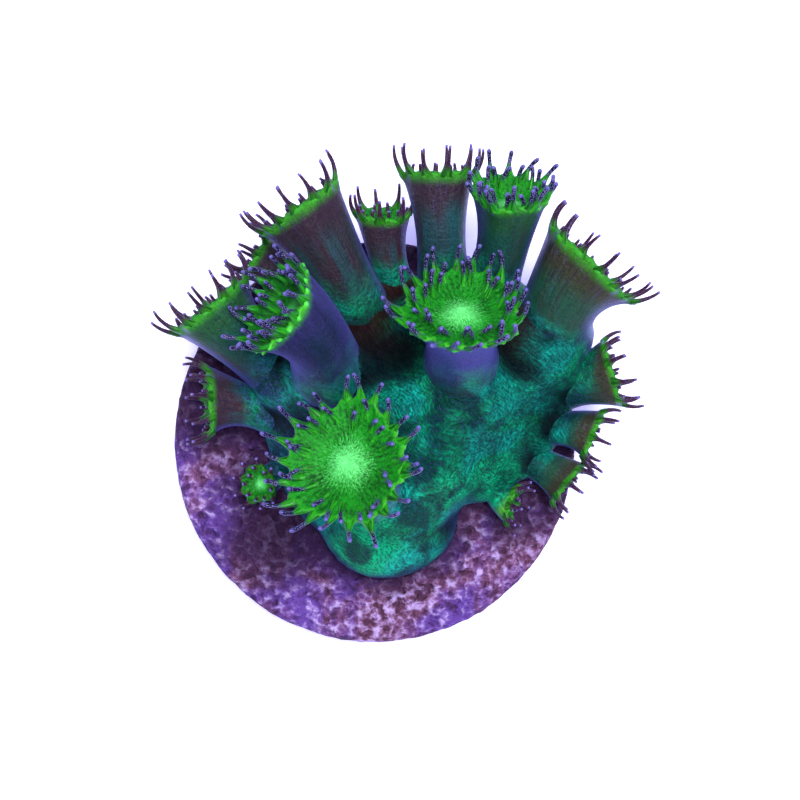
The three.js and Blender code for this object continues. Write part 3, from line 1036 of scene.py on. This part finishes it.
@dataclass
class Polyp:
    """A polyp: a stalk that flares like a trumpet to a lobed rim, a ridged oral disc and its tentacles.

    Its tentacles are those of one row, and lift, the angle at which they leave the rim, is in degrees. ROOT
    and BEND are shares of the stalk's length, BASE_FLARE of its radius, and BEAD, SEPTA and TENTACLE_ROOT
    are in millimetres. The other sizes in capitals are shares of the rim's radius.
    """

    name: str
    base: Point
    centre: Point
    facing: Point
    rim: float
    stalk: float
    flare: float
    cup: float
    tentacles: int
    lift: float
    reach: float
    tint: StalkTint
    fringe: Fringe = Fringe.CLAW
    ruffled: float = 0.6
    beaded: float = 0.25
    sectors_per_tentacle: int = 6
    stalk_rings: int = 46
    disc_rings: int = 34

    ROOT = 0.12
    BEND = 0.45
    BASE_FLARE = 0.22
    RIM_WAVE = 0.045
    RUFFLE = 0.045
    LOBE = 0.08
    LIP = 0.035
    CONE, CONE_WIDTH = 0.11, 0.26
    MOUTH, MOUTH_WIDTH = 0.06, 0.06
    OUTER_ROW, INNER_ROW = 0.97, 0.8
    ROW_LIFT = 6
    BEAD = 0.09
    SEPTA = 0.24
    TENTACLE_ROOT = 0.12

    def place_on(self, share: float) -> tuple[np.ndarray, np.ndarray, np.ndarray, np.ndarray]:
        """Finds the frame of one ring of the stalk.

        Args:
            share: How far along the stalk, from 0 at its base to 1 at its rim. Its root lies below 0.

        Returns:
            The ring's middle, the way it faces, and the two directions across it.
        """
        base = np.array(self.base, dtype=float)
        centre = np.array(self.centre, dtype=float)
        facing = unit(np.array(self.facing, dtype=float))
        knee = centre - facing * self.BEND * np.linalg.norm(centre - base)
        s = max(share, 0.0)
        middle = (1 - s) ** 2 * base + 2 * s * (1 - s) * knee + s * s * centre
        heading = unit(2 * (1 - s) * (knee - base) + 2 * s * (centre - knee))
        if share < 0:
            middle = middle + heading * share * np.linalg.norm(centre - base)
        steady = np.array([0.0, 1.0, 0.0] if abs(facing[2]) > 0.8 else [0.0, 0.0, 1.0])
        across = unit(np.cross(steady, heading))
        return middle, heading, across, np.cross(heading, across)

    def wave(self, turn: np.ndarray) -> np.ndarray:
        """Returns how far the rim stands out at each turn, as a share of its radius."""
        phase = self.centre[0] + self.centre[1]
        return 1 + self.RIM_WAVE * (np.sin(3 * turn + phase) + np.sin(5 * turn + 2 * phase))

    def lobes(self, turn: np.ndarray) -> np.ndarray:
        """Returns 1 where a tentacle grows from the rim and 0 between two of them."""
        return (0.5 + 0.5 * np.cos(self.tentacles * turn)) ** 1.5

    def ring(self, share: float, turn: np.ndarray, radius: np.ndarray, rise: np.ndarray) -> np.ndarray:
        """Works out one ring of points.

        Args:
            share: How far along the stalk it is.
            turn: The turns of its points.
            radius: Its radius at each turn.
            rise: How far it is raised along its heading at each turn.

        Returns:
            The points.
        """
        middle, heading, across, over = self.place_on(share)
        outwards = np.cos(turn)[:, None] * across + np.sin(turn)[:, None] * over
        return middle + outwards * radius[:, None] + heading * rise[:, None]

    def ruffle(self, turn: np.ndarray) -> np.ndarray:
        """Makes the rim rise and fall.

        Args:
            turn: The turns of its points.

        Returns:
            The rise at each turn.
        """
        phase = self.centre[0] - self.centre[2]
        swell = np.sin(4 * turn + phase) + 0.6 * np.sin(7 * turn + 2 * phase)
        return self.RUFFLE * self.rim * swell * self.ruffled

    def bowl(self, radial: float) -> float:
        """Shapes the oral disc below the rim, with the mouth's cone in its middle.

        Args:
            radial: How far out a point is, from 0 at the mouth to 1 at the rim.

        Returns:
            Its height above the rim's plane, below zero in the cup.
        """
        floor = -self.cup * float(smooth(1 - radial, 0.06, 0.6))
        cone = self.CONE * self.rim * math.exp(-(radial / self.CONE_WIDTH) ** 2)
        mouth = -self.MOUTH * self.rim * math.exp(-(radial / self.MOUTH_WIDTH) ** 2)
        return floor + cone + mouth

    def flesh_skin(self, skin: Skin, turn: np.ndarray, mound: "CoralMound") -> None:
        """Adds the stalk, from its root up to the rim's edge, and the oral disc inside the rim.

        Args:
            skin: The skin that they join.
            turn: The turns of the points of a ring.
            mound: The mound that the stalk grows out of.
        """
        wave = self.wave(turn)
        lobe = self.lobes(turn)
        ruffle = self.ruffle(turn)
        shares = np.concatenate([[-self.ROOT, -self.ROOT / 2],
                                 1 - (1 - np.linspace(0, 1, self.stalk_rings)) ** 1.35])
        rings: list[np.ndarray] = []
        values: dict[str, list[np.ndarray]] = {}
        for share in shares:
            rise = max(share, 0.0)
            flare = (self.rim * wave - self.stalk) * rise ** self.flare
            spread = 1 + self.BASE_FLARE * (1 - rise) ** 4
            near = float(smooth(rise, 0.9, 1.0))
            bead = self.BEAD * self.beaded * lobe * math.exp(-((rise - 0.985) / 0.02) ** 2)
            radius = (self.stalk * spread + flare) * (1 + self.LOBE * (lobe - 0.4) * near) + bead
            rings.append(self.ring(share, turn, radius, ruffle * near ** 2))
            self._note(values, turn, rise=rise, radial=1.0, ridge=0.5, is_disc=0.0,
                       bead=self.beaded * lobe * float(smooth(rise, 0.97, 0.995)))
        edge = self.rim * wave * (1 + self.LOBE * (lobe - 0.4))
        inner = self.lobes(turn + math.pi / self.tentacles)
        septa = np.maximum(lobe, inner)
        for step in np.linspace(0, 1, self.disc_rings)[1:]:
            radial = 1 - step ** 0.85 * 0.985
            lip = self.LIP * self.rim * math.sin(math.pi * min((1 - radial) / 0.12, 1.0))
            relief = self.SEPTA * (septa - 0.45) * float(smooth(radial, 0.3, 0.85))
            rise = np.full_like(turn, lip + self.bowl(radial)) + relief + ruffle * radial ** 6
            shape = edge * radial if radial > 0.8 else self.rim * wave * radial
            rings.append(self.ring(1.0, turn, shape, rise))
            self._note(values, turn, rise=1.0, radial=radial, ridge=septa, is_disc=1.0,
                       bead=self.beaded * lobe * float(smooth(radial, 0.95, 0.99)))
        stacked = {name: np.stack(parts) for name, parts in values.items()}
        along = stacked["rise"] + 1 - stacked["radial"]
        spread = 0.35 + 0.65 * stacked["radial"]
        grain = np.stack([np.cos(turn) * spread, np.sin(turn) * spread, along], axis=-1)
        grain[..., :2] += 0.7 * np.array(self.centre[:2])
        points = np.stack(rings)
        height = mound.distance(points.reshape(-1, 3)).reshape(points.shape[:2])
        skin.tube(points, {**stacked, "grain": grain, "foot": 1 - smooth(height, 0.0, 1.5)}, 0)

    @staticmethod
    def _note(values: dict[str, list[np.ndarray]], turn: np.ndarray, **given: object) -> None:
        """Keeps one ring's values, spread to every point of the ring."""
        for name, value in given.items():
            values.setdefault(name, []).append(np.broadcast_to(np.asarray(value, dtype=float), turn.shape))

    def tentacle(self, skin: Skin, turn: float, radial: float, lift: float, length: float, curl: float,
                 sway: float) -> None:
        """Adds one tentacle.

        Args:
            skin: The skin that it joins.
            turn: Where it stands round the rim, in radians.
            radial: How far out it stands, as a share of the rim's radius.
            lift: How steeply it leaves the rim, in radians.
            length: Its length.
            curl: How much further up it points at its tip, in radians.
            sway: How far it bends sideways, in radians.
        """
        form = FORMS[self.fringe]
        middle, heading, across, over = self.place_on(1.0)
        outwards = math.cos(turn) * across + math.sin(turn) * over
        sideways = np.cross(heading, outwards)
        reach = self.rim * float(self.wave(np.array(turn))) * radial
        sink = self.bowl(radial) + float(self.ruffle(np.array(turn))) * radial ** 6
        start = middle + outwards * reach + heading * sink
        steps = 1 - (1 - np.linspace(0, 1, form.rings)) ** 1.25
        angles = lift + curl * steps ** 1.3
        ways = np.cos(angles)[:, None] * outwards + np.sin(angles)[:, None] * heading
        ways = unit(ways + np.tan(sway * steps ** 1.5)[:, None] * sideways)
        hops = np.diff(steps, prepend=0.0)[:, None] * length
        spine = start + np.cumsum(ways * hops, axis=0) - ways[0] * self.TENTACLE_ROOT
        right = unit(sideways - (ways @ sideways)[:, None] * ways)
        front = np.cross(right, ways)
        radii = form.radii(steps)
        web = (form.web - 1) * (1.0 if radial > 0.9 else 0.25)
        width = radii * (1 + web * np.clip(1 - steps / form.green, 0, 1))
        sides = np.linspace(0, 2 * math.pi, form.sides, endpoint=False)
        rings = (spine[:, None] + np.cos(sides)[None, :, None] * (front * radii[:, None])[:, None]
                 + np.sin(sides)[None, :, None] * (right * width[:, None])[:, None])
        along = np.broadcast_to(steps[:, None], rings.shape[:2])
        across_grain = [np.broadcast_to(part, along.shape) for part in (np.cos(sides), np.sin(sides))]
        grain = np.stack([*across_grain, 2 * along + 9 * turn], axis=-1)
        skin.tube(rings, {"rise": np.ones_like(along), "along": along, "grain": grain}, 1, start=False)

    def fringe_skin(self, skin: Skin) -> None:
        """Adds two rows of tentacles: long ones on the rim's edge and steeper, shorter ones inside it.

        Args:
            skin: The skin that they join.
        """
        form = FORMS[self.fringe]
        chance = random.Random(self.name)
        rows = ((self.OUTER_ROW, -self.ROW_LIFT, 1.0), (self.INNER_ROW, self.ROW_LIFT, form.inner_share))
        for row, (radial, extra_lift, share) in enumerate(rows):
            for number in range(self.tentacles):
                shift = chance.uniform(-form.jitter, form.jitter)
                turn = 2 * math.pi * (number + row * 0.5 + shift) / self.tentacles
                lift = math.radians(self.lift + extra_lift + chance.uniform(-form.scatter, form.scatter))
                length = self.reach * share * chance.uniform(*form.length)
                place = radial - row * chance.uniform(0.0, form.inner_depth)
                curl = chance.uniform(*form.curl)
                self.tentacle(skin, turn, place, lift, length, curl, chance.uniform(-form.sway, form.sway))

    def build(self, flesh: Material, tentacle: Material, mound: "CoralMound") -> None:
        """Builds the polyp as one mesh and dresses it.

        Args:
            flesh: The material of its stalk and oral disc.
            tentacle: The material of its tentacles.
            mound: The mound that it grows out of.
        """
        skin = Skin("rise", "radial", "ridge", "is_disc", "bead", "foot", "along", "grain")
        sectors = self.sectors_per_tentacle * self.tentacles
        self.flesh_skin(skin, np.linspace(0, 2 * math.pi, sectors, endpoint=False), mound)
        self.fringe_skin(skin)
        dress(skin.piece(self.name + "_flesh"), Slot.POLYP, self.name, flesh, tentacle)


POLYPS = [
    Polyp("polyp_front", (-0.2, -2.6, 8.0), (-1.6, -1.0, 14.2), (-0.3, 0.22, 0.93),
          rim=3.7, stalk=1.9, flare=3.6, cup=0.5, tentacles=22, lift=27, reach=1.6,
          tint=StalkTint.LAVENDER, fringe=Fringe.CLUB, ruffled=1.0, beaded=0.5),
    Polyp("polyp_centre", (5.3, 5.0, 9.6), (5.2, 7.9, 14.4), (0, 0.7, 0.71),
          rim=3.4, stalk=2.0, flare=4.0, cup=0.4, tentacles=22, lift=50, reach=1.6,
          tint=StalkTint.LAVENDER, fringe=Fringe.CLUB, beaded=0.5),
    Polyp("polyp_left_inner", (-2.8, 4.6, 9.3), (-5.5, 8.0, 14.9), (-0.78, 0.41, 0.47),
          rim=2.8, stalk=1.9, flare=2.4, cup=0.9, tentacles=20, lift=66, reach=1.5,
          tint=StalkTint.INDIGO, fringe=Fringe.CLUB, beaded=1.0),
    Polyp("polyp_left_outer", (-6.2, 5.0, 7.0), (-9.8, 8.3, 10.4), (-0.62, 0.77, 0.1),
          rim=2.8, stalk=1.75, flare=2.8, cup=0.9, tentacles=13, lift=52, reach=1.6,
          tint=StalkTint.TEAL),
    Polyp("polyp_back_left", (-1.3, 8.5, 8.1), (-4.3, 14.1, 12.2), (-0.59, 0.8, 0.1),
          rim=2.7, stalk=1.77, flare=2.6, cup=0.9, tentacles=13, lift=52, reach=1.7,
          tint=StalkTint.RUSSET),
    Polyp("polyp_back_small", (1.8, 8.8, 5.2), (0.6, 13.9, 9.2), (0, 0.95, 0.3),
          rim=1.7, stalk=1.05, flare=3.2, cup=0.6, tentacles=9, lift=56, reach=1.3,
          tint=StalkTint.RUSSET),
    Polyp("polyp_back", (4.3, 9.7, 6.9), (4.0, 16.2, 11.0), (0, 0.99, 0.1),
          rim=2.2, stalk=1.4, flare=3.2, cup=0.7, tentacles=11, lift=56, reach=1.5,
          tint=StalkTint.RUSSET),
    Polyp("polyp_back_right", (7.1, 9.4, 8.8), (8.1, 14.8, 13.5), (0.05, 0.85, 0.52),
          rim=2.3, stalk=1.42, flare=2.6, cup=0.8, tentacles=16, lift=64, reach=1.4,
          tint=StalkTint.TEAL, fringe=Fringe.CLUB, beaded=0.4),
    Polyp("polyp_right", (10.9, 6.9, 7.4), (12.9, 10.9, 11.2), (0.69, 0.71, 0.1),
          rim=3.4, stalk=2.15, flare=2.8, cup=1.0, tentacles=14, lift=52, reach=1.55,
          tint=StalkTint.OLIVE),
    Polyp("polyp_right_side", (11.6, 3.6, 6.0), (14.6, 4.3, 7.3), (0.95, 0.27, 0.1),
          rim=2.05, stalk=1.42, flare=2.2, cup=0.6, tentacles=10, lift=52, reach=1.2,
          tint=StalkTint.OLIVE),
    Polyp("polyp_right_low", (10.7, 0.85, 5.6), (13.4, 0.45, 7.1), (0.91, -0.41, 0.05),
          rim=1.55, stalk=0.95, flare=1.8, cup=0.5, tentacles=8, lift=52, reach=1.1,
          tint=StalkTint.OLIVE),
    Polyp("polyp_right_front", (9.2, -0.85, 4.9), (12.0, -2.5, 5.9), (0.77, -0.64, 0.1),
          rim=1.55, stalk=0.95, flare=1.8, cup=0.5, tentacles=8, lift=52, reach=1.1,
          tint=StalkTint.OLIVE),
    Polyp("polyp_foot_right", (7.2, -1.8, 4.8), (8.6, -3.8, 5.6), (0.93, -0.3, 0.2),
          rim=1.25, stalk=0.8, flare=3.2, cup=0.3, tentacles=8, lift=45, reach=0.9,
          tint=StalkTint.LIME),
    Polyp("polyp_left_low", (-5.4, 1.1, 5.0), (-10.2, 2.5, 6.8), (-0.98, -0.06, 0.15),
          rim=2.2, stalk=1.1, flare=2.8, cup=0.7, tentacles=11, lift=52, reach=1.3,
          tint=StalkTint.RUSSET),
    Polyp("polyp_foot_left", (-4.6, -0.6, 5.2), (-7.2, -2.6, 5.6), (-0.45, -0.1, 0.88),
          rim=1.2, stalk=0.8, flare=3.2, cup=0.25, tentacles=9, lift=35, reach=0.7,
          tint=StalkTint.TEAL),
    Polyp("polyp_left_back", (-3.4, 7.0, 5.2), (-7.2, 11.5, 7.0), (-0.85, 0.52, 0.05),
          rim=1.6, stalk=1.1, flare=3.2, cup=0.5, tentacles=8, lift=52, reach=1.3,
          tint=StalkTint.RUSSET),
]


# Mound


@dataclass(frozen=True)
class Lobe:
    """A round bar of flesh between two points, with a radius at each."""

    start: Point
    end: Point
    radii: Pair

    def distance(self, points: np.ndarray) -> np.ndarray:
        """Measures from the lobe.

        Args:
            points: Points in the shape (count, 3).

        Returns:
            How far each lies outside it, below zero inside.
        """
        start, end = np.array(self.start), np.array(self.end)
        line = end - start
        share = np.clip((points - start) @ line / (line @ line), 0, 1)
        radius = self.radii[0] + (self.radii[1] - self.radii[0]) * share
        return np.linalg.norm(points - start - share[:, None] * line, axis=1) - radius


@dataclass
class CoralMound:
    """The fleshy body: round lobes and the sleeves of the stalks, blended into one skin around a core."""

    polyps: list[Polyp]
    core: Point = (3.2, 3.0, 6.6)
    foot: float = 3.25
    reach: float = 15.0
    detail: int = 7
    blend: float = 0.55
    ripple: float = 0.16
    sleeve: float = 0.34
    ridge_step: float = 0.9
    lump: float = 0.07
    lump_grain: float = 0.9

    LOBES = [
        Lobe((3.2, 3.0, 5.6), (4.6, 4.4, 6.0), (4.6, 4.3)),
        Lobe((2.2, -0.6, 5.6), (0.1, -5.0, 4.5), (4.2, 3.4)),
        Lobe((1.6, -4.0, 4.4), (2.6, -5.3, 3.7), (2.8, 2.4)),
        Lobe((4.0, -1.0, 4.8), (6.2, -1.4, 4.6), (3.2, 2.1)),
        Lobe((6.4, 0.6, 4.8), (9.2, 1.7, 5.2), (3.4, 2.3)),
        Lobe((6.0, 3.4, 6.0), (9.7, 6.0, 7.6), (4.0, 3.0)),
        Lobe((3.0, 6.0, 6.6), (6.4, 8.2, 7.2), (3.2, 2.8)),
        Lobe((0.6, 5.6, 6.8), (-1.6, 7.6, 7.2), (2.8, 2.1)),
        Lobe((0.6, 3.6, 6.4), (-4.9, 4.4, 6.9), (3.2, 2.5)),
        Lobe((-0.4, 0.4, 4.8), (-4.2, 0.6, 4.6), (3.2, 2.2)),
        Lobe((-0.4, -1.0, 4.8), (-2.8, -2.8, 4.4), (3.4, 2.5)),
    ]

    # The middle, width and depth of each hollow.
    HOLLOWS = [
        ((1.4, 5.2, 9.8), 1.6, 0.9),
        ((8.6, 5.4, 9.6), 1.2, 0.7),
        ((5.0, 8.6, 9.8), 1.5, 0.7),
    ]

    def __post_init__(self) -> None:
        """Lists the mound's own lobes and a short sleeve around the foot of each stalk."""
        self.lobes = list(self.LOBES)
        for polyp in self.polyps:
            low, high = polyp.place_on(-0.05)[0], polyp.place_on(self.sleeve)[0]
            self.lobes.append(Lobe(tuple(low), tuple(high), (polyp.stalk * 1.05, polyp.stalk * 0.62)))

    def distance(self, points: np.ndarray) -> np.ndarray:
        """Measures from the blended lobes and the hollows between them.

        Args:
            points: Points in the shape (count, 3).

        Returns:
            How far each lies outside the flesh, below zero inside.
        """
        total = sum(np.exp(-lobe.distance(points) / self.blend) for lobe in self.lobes)
        hollow = sum(depth * np.exp(-(np.linalg.norm(points - np.array(middle), axis=1) / width) ** 2)
                     for middle, width, depth in self.HOLLOWS)
        x, y, z = points.T
        uneven = (np.sin(1.1 * x + 0.7 * y + 2.1) + np.sin(0.9 * y - 1.3 * z)
                  + np.sin(1.2 * z + 0.8 * x + 4.0)) / 3
        return self.ripple * uneven + hollow - self.blend * np.log(total)

    def surface(self, directions: np.ndarray) -> np.ndarray:
        """Finds the outermost point of the flesh along each direction from the core.

        Args:
            directions: Directions of length 1, in the shape (count, 3).

        Returns:
            The points, in the same shape.
        """
        core = np.array(self.core)
        reach = np.full(len(directions), self.reach)
        step = 0.3
        while step > 0.004:
            searching = np.ones(len(directions), dtype=bool)
            while searching.any():
                ahead = core + directions[searching] * (reach[searching] - step)[:, None]
                is_outside = (self.distance(ahead) > 0) & (reach[searching] > 1)
                numbers = np.flatnonzero(searching)
                reach[numbers[is_outside]] -= step
                searching[numbers[~is_outside]] = False
            step /= 2
        return core + directions * reach[:, None]

    def build(self, flesh: Material) -> None:
        """Builds the mound from its lobes and dresses it.

        Args:
            flesh: Its material.
        """
        bpy.ops.mesh.primitive_ico_sphere_add(subdivisions=self.detail, radius=1.0)
        ball = bpy.context.object
        points = np.empty(len(ball.data.vertices) * 3)
        ball.data.vertices.foreach_get("co", points)
        corners = np.empty(len(ball.data.polygons) * 3, dtype=np.int32)
        ball.data.polygons.foreach_get("vertices", corners)
        bpy.data.objects.remove(ball)
        directions = unit(points.reshape(-1, 3))
        skin_points = self.surface(directions)
        core = np.array(self.core)
        is_low = skin_points[:, 2] < self.foot
        cut = (self.foot - core[2]) / np.minimum(directions[:, 2], -1e-6)
        skin_points[is_low] = core + directions[is_low] * cut[is_low, None]
        # The ridge value is the mask of painted shade: low where flesh lies just outside a point and in the
        # hollows.
        outside = self.distance(skin_points + directions * self.ridge_step)
        sunk = sum(np.exp(-(np.linalg.norm(skin_points - np.array(middle), axis=1) / (1.1 * width)) ** 2)
                   for middle, width, _ in self.HOLLOWS)
        ridge = smooth(outside, 0.1, 0.85) * (1 - np.clip(1.1 * sunk, 0, 1))
        lumps = roughness_at(skin_points, self.lump_grain, 4) * self.lump
        skin_points = skin_points + directions * (lumps * (~is_low))[:, None]
        skin = Skin("ridge")
        skin.sheet(skin_points, corners.reshape(-1, 3), {"ridge": ridge})
        dress(skin.piece("mound_flesh"), Slot.MOUND, "coral_mound", flesh)


# Stage


@dataclass
class Studio:
    """The pale floor, the soft lights and the camera that looks straight down, as the photograph does."""

    target: Pair = (1.6, 2.65)
    disc_top: float = 3.2
    distance: float = 150.0
    pixel: float = 0.06318
    picture: int = 800
    sensor: float = 36.0
    floor_width: float = 1.6

    def floor(self) -> None:
        """Lays the pale floor under the disc."""
        bpy.ops.mesh.primitive_plane_add(size=self.floor_width)
        floor = bpy.context.object
        floor.name = "floor"
        material, _, shader = new_material("floor", roughness=0.9)
        shader.inputs["Base Color"].default_value = (0.93, 0.93, 0.95, 1)
        shader.inputs["Specular IOR Level"].default_value = 0.0
        shader.inputs["Emission Color"].default_value = (0.45, 0.42, 0.95, 1)
        shader.inputs["Emission Strength"].default_value = 0.7
        floor.data.materials.append(material)

    def lamp(self, name: str, place: Point, power: float, width: float, colour: Colour) -> None:
        """Hangs a soft square lamp that points at the coral.

        Args:
            name: The lamp's name.
            place: Where it hangs, in metres.
            power: Its power, in watts.
            width: Its width, in metres.
            colour: The colour of its light.
        """
        light = bpy.data.lights.new(name, "AREA")
        light.energy = power
        light.size = width
        light.color = colour
        lamp = bpy.data.objects.new(name, light)
        lamp.location = place
        aim = Vector((self.target[0] * MM, self.target[1] * MM, 0.008)) - lamp.location
        lamp.rotation_euler = aim.to_track_quat("-Z", "Y").to_euler()
        bpy.context.scene.collection.objects.link(lamp)

    def sky(self, colour: Colour, strength: float) -> None:
        """Sets the even light from all round.

        Args:
            colour: Its colour.
            strength: Its strength.
        """
        world = bpy.data.worlds.new("studio")
        world.use_nodes = True
        background = world.node_tree.nodes["Background"]
        background.inputs["Color"].default_value = (*colour, 1)
        background.inputs["Strength"].default_value = strength
        bpy.context.scene.world = world

    def camera(self) -> None:
        """Sets the camera above the colony, looking straight down."""
        camera = bpy.data.cameras.new("camera")
        camera.sensor_width = self.sensor
        camera.lens = self.sensor * self.distance / (self.pixel * self.picture)
        camera.clip_start = 0.01
        holder = bpy.data.objects.new("camera", camera)
        holder.location = (self.target[0] * MM, self.target[1] * MM, (self.disc_top + self.distance) * MM)
        bpy.context.scene.collection.objects.link(holder)
        bpy.context.scene.camera = holder

    def build(self) -> None:
        """Builds the floor, lights and camera, and picks the plain view of colours."""
        self.floor()
        self.camera()
        self.sky(colour=(0.36, 0.3, 1.0), strength=0.2)
        self.lamp("key", place=(0.07, 0.09, 0.55), power=5.9, width=0.24, colour=(0.86, 0.88, 1.0))
        self.lamp("front", place=(-0.1, -0.4, 0.4), power=0.9, width=0.25, colour=(0.75, 0.8, 1.0))
        bpy.context.scene.view_settings.view_transform = "Standard"
        log.info("studio: lights and camera set")


def main() -> None:
    """Builds the colony piece by piece, then the studio."""
    logging.basicConfig(level=logging.INFO, format="%(name)s %(message)s")
    fibre = FleshFibre().tree()
    groups = FleshGroups(fibre, PaintedEdgeSheen().tree(), MoundFlesh().tree(fibre))
    mound = CoralMound(POLYPS)
    FragDisc().build(CrustFinish().material(), mound)
    mound.build(MoundFinish().material(groups))
    flesh = {tint: finish.material("polyp_" + tint.value, groups) for tint, finish in POLYP_FINISHES.items()}
    tentacles = {kind: finish.material("tentacle_" + kind.value, groups)
                 for kind, finish in TENTACLE_FINISHES.items()}
    for polyp in POLYPS:
        polyp.build(flesh[polyp.tint], tentacles[polyp.fringe], mound)
    Studio().build()
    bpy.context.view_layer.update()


if __name__ == "__main__":
    main()
